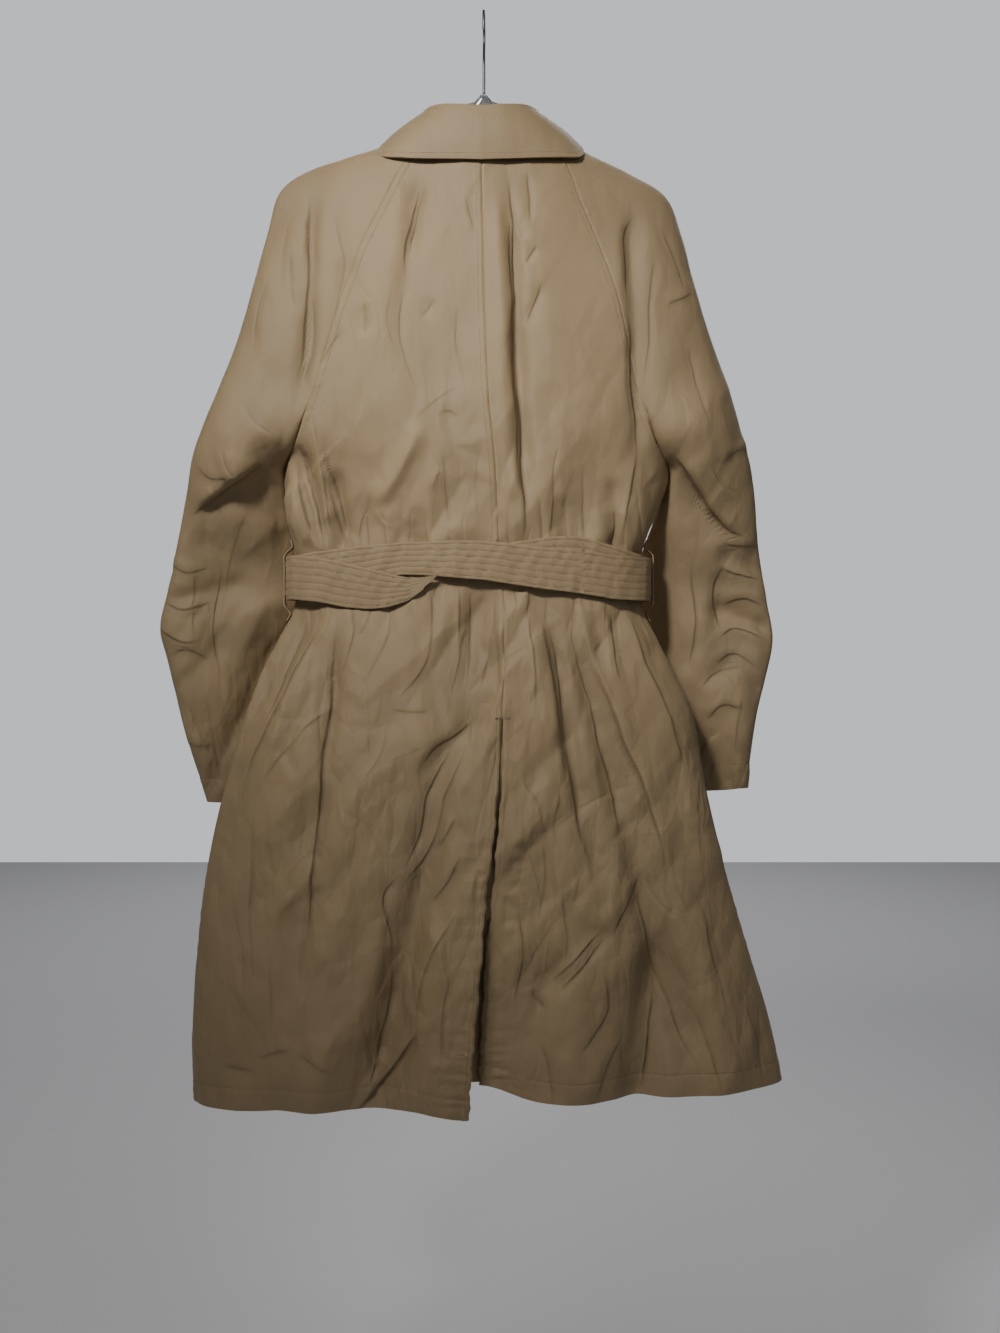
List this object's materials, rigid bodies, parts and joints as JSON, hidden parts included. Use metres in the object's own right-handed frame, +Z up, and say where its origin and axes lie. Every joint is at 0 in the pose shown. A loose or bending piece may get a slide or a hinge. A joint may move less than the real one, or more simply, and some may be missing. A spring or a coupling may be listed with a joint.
{
  "type": "belted raglan coat on a clothes hanger",
  "caption": "Belted raglan coat with a turned-down collar and a back vent, hanging on a clear plastic hanger with a wire hook.",
  "frame": {"origin": "under the top of the hook, where a rail carries it", "axes": "+Z up, the coat's back faces -Y and its front +Y, the wearer's left is at -X"},
  "size_m": [0.6769, 0.2075, 1.1797],
  "materials": {
    "coat_cloth": "satin",
    "collar_cloth": "satin",
    "belt_cloth": "satin",
    "button_horn": "gloss",
    "clear_plastic": "gloss",
    "steel_wire": "satin"
  },
  "bodies": {
    "root": {"back_left": "coat_cloth", "back_right": "coat_cloth", "front_left": "coat_cloth", "front_right": "coat_cloth", "sleeve_back_left": "coat_cloth", "sleeve_back_right": "coat_cloth", "sleeve_front_left": "coat_cloth", "sleeve_front_right": "coat_cloth", "vent_underlap": "coat_cloth", "vent_tab": "coat_cloth", "collar_stand": "collar_cloth", "collar_fall": "collar_cloth", "belt": "belt_cloth", "belt_keeper_left": "belt_cloth", "belt_keeper_right": "belt_cloth", "button_1": "button_horn", "button_2": "button_horn", "button_3": "button_horn", "button_4": "button_horn", "button_5": "button_horn", "hanger_body": "clear_plastic", "hanger_hook": "steel_wire"}
  },
  "joints": []
}
